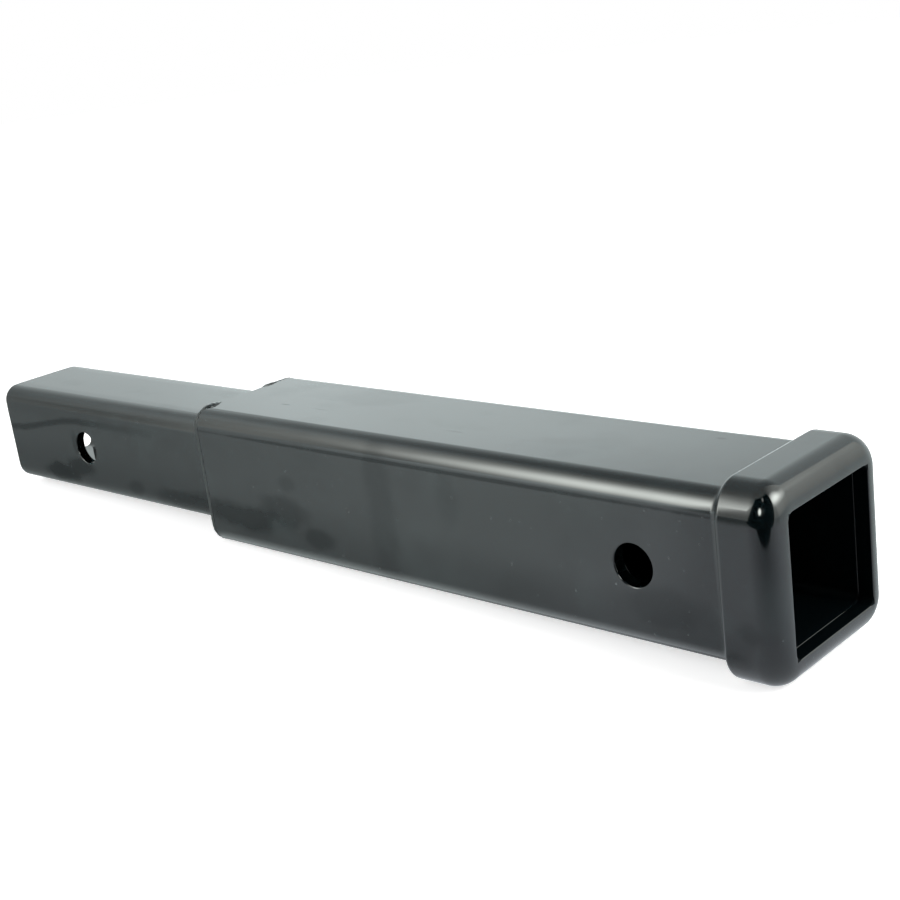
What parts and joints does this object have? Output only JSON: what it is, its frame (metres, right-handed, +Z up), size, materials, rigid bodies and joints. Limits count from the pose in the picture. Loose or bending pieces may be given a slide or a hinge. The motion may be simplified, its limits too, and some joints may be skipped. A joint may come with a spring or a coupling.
{
  "type": "hitch receiver extender",
  "caption": "Welded square shank tube joined to a larger square receiver tube with a rounded collar at its mouth, each crossed by a pin hole.",
  "frame": {"origin": "centre of the shank's pin hole, on the axis of the tubes", "axes": "+X along the tubes from the shank to the mouth, +Y along the pin holes, +Z up"},
  "size_m": [0.4746, 0.073, 0.073],
  "materials": {
    "black_coat": "gloss",
    "weld_coat": "gloss"
  },
  "bodies": {
    "root": {"shank_tube": "black_coat", "receiver_tube": "black_coat", "receiver_collar": "black_coat", "collar_weld": "weld_coat", "left_shank_weld": "weld_coat", "right_shank_weld": "weld_coat"}
  },
  "joints": []
}
